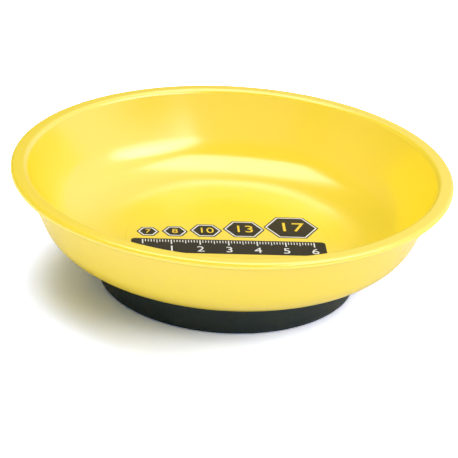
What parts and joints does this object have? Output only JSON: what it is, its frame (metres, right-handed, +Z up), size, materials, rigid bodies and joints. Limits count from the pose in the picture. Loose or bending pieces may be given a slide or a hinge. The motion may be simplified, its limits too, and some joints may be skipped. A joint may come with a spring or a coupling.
{
  "type": "magnetic parts tray",
  "caption": "Round yellow moulded bowl with a rolled lip on a black rubber base with a ring magnet inside, for keeping screws and small steel parts in one place.",
  "frame": {"origin": "on the tray's axis, in the plane of the sole that it rests on", "axes": "+Z up along the tray's axis, out of the bowl's mouth; X and Y are equal, because the tray is round"},
  "size_m": [0.152, 0.152, 0.0415],
  "materials": {
    "bowl_plastic": "satin moulded yellow plastic",
    "label_film": "clear film with a printed size gauge",
    "boot_rubber": "matte black rubber with a fine moulded grain",
    "ferrite": "ground grey ferrite",
    "insert_brass": "machined brass",
    "zinc_steel": "bright zinc plating"
  },
  "bodies": {
    "root": {"bowl": "bowl_plastic", "floor_label": "label_film", "base_boot": "boot_rubber", "ring_magnet": "ferrite", "threaded_insert": "insert_brass", "penny_washer": "zinc_steel", "lock_washer": "zinc_steel", "clamp_screw": "zinc_steel"}
  },
  "joints": []
}
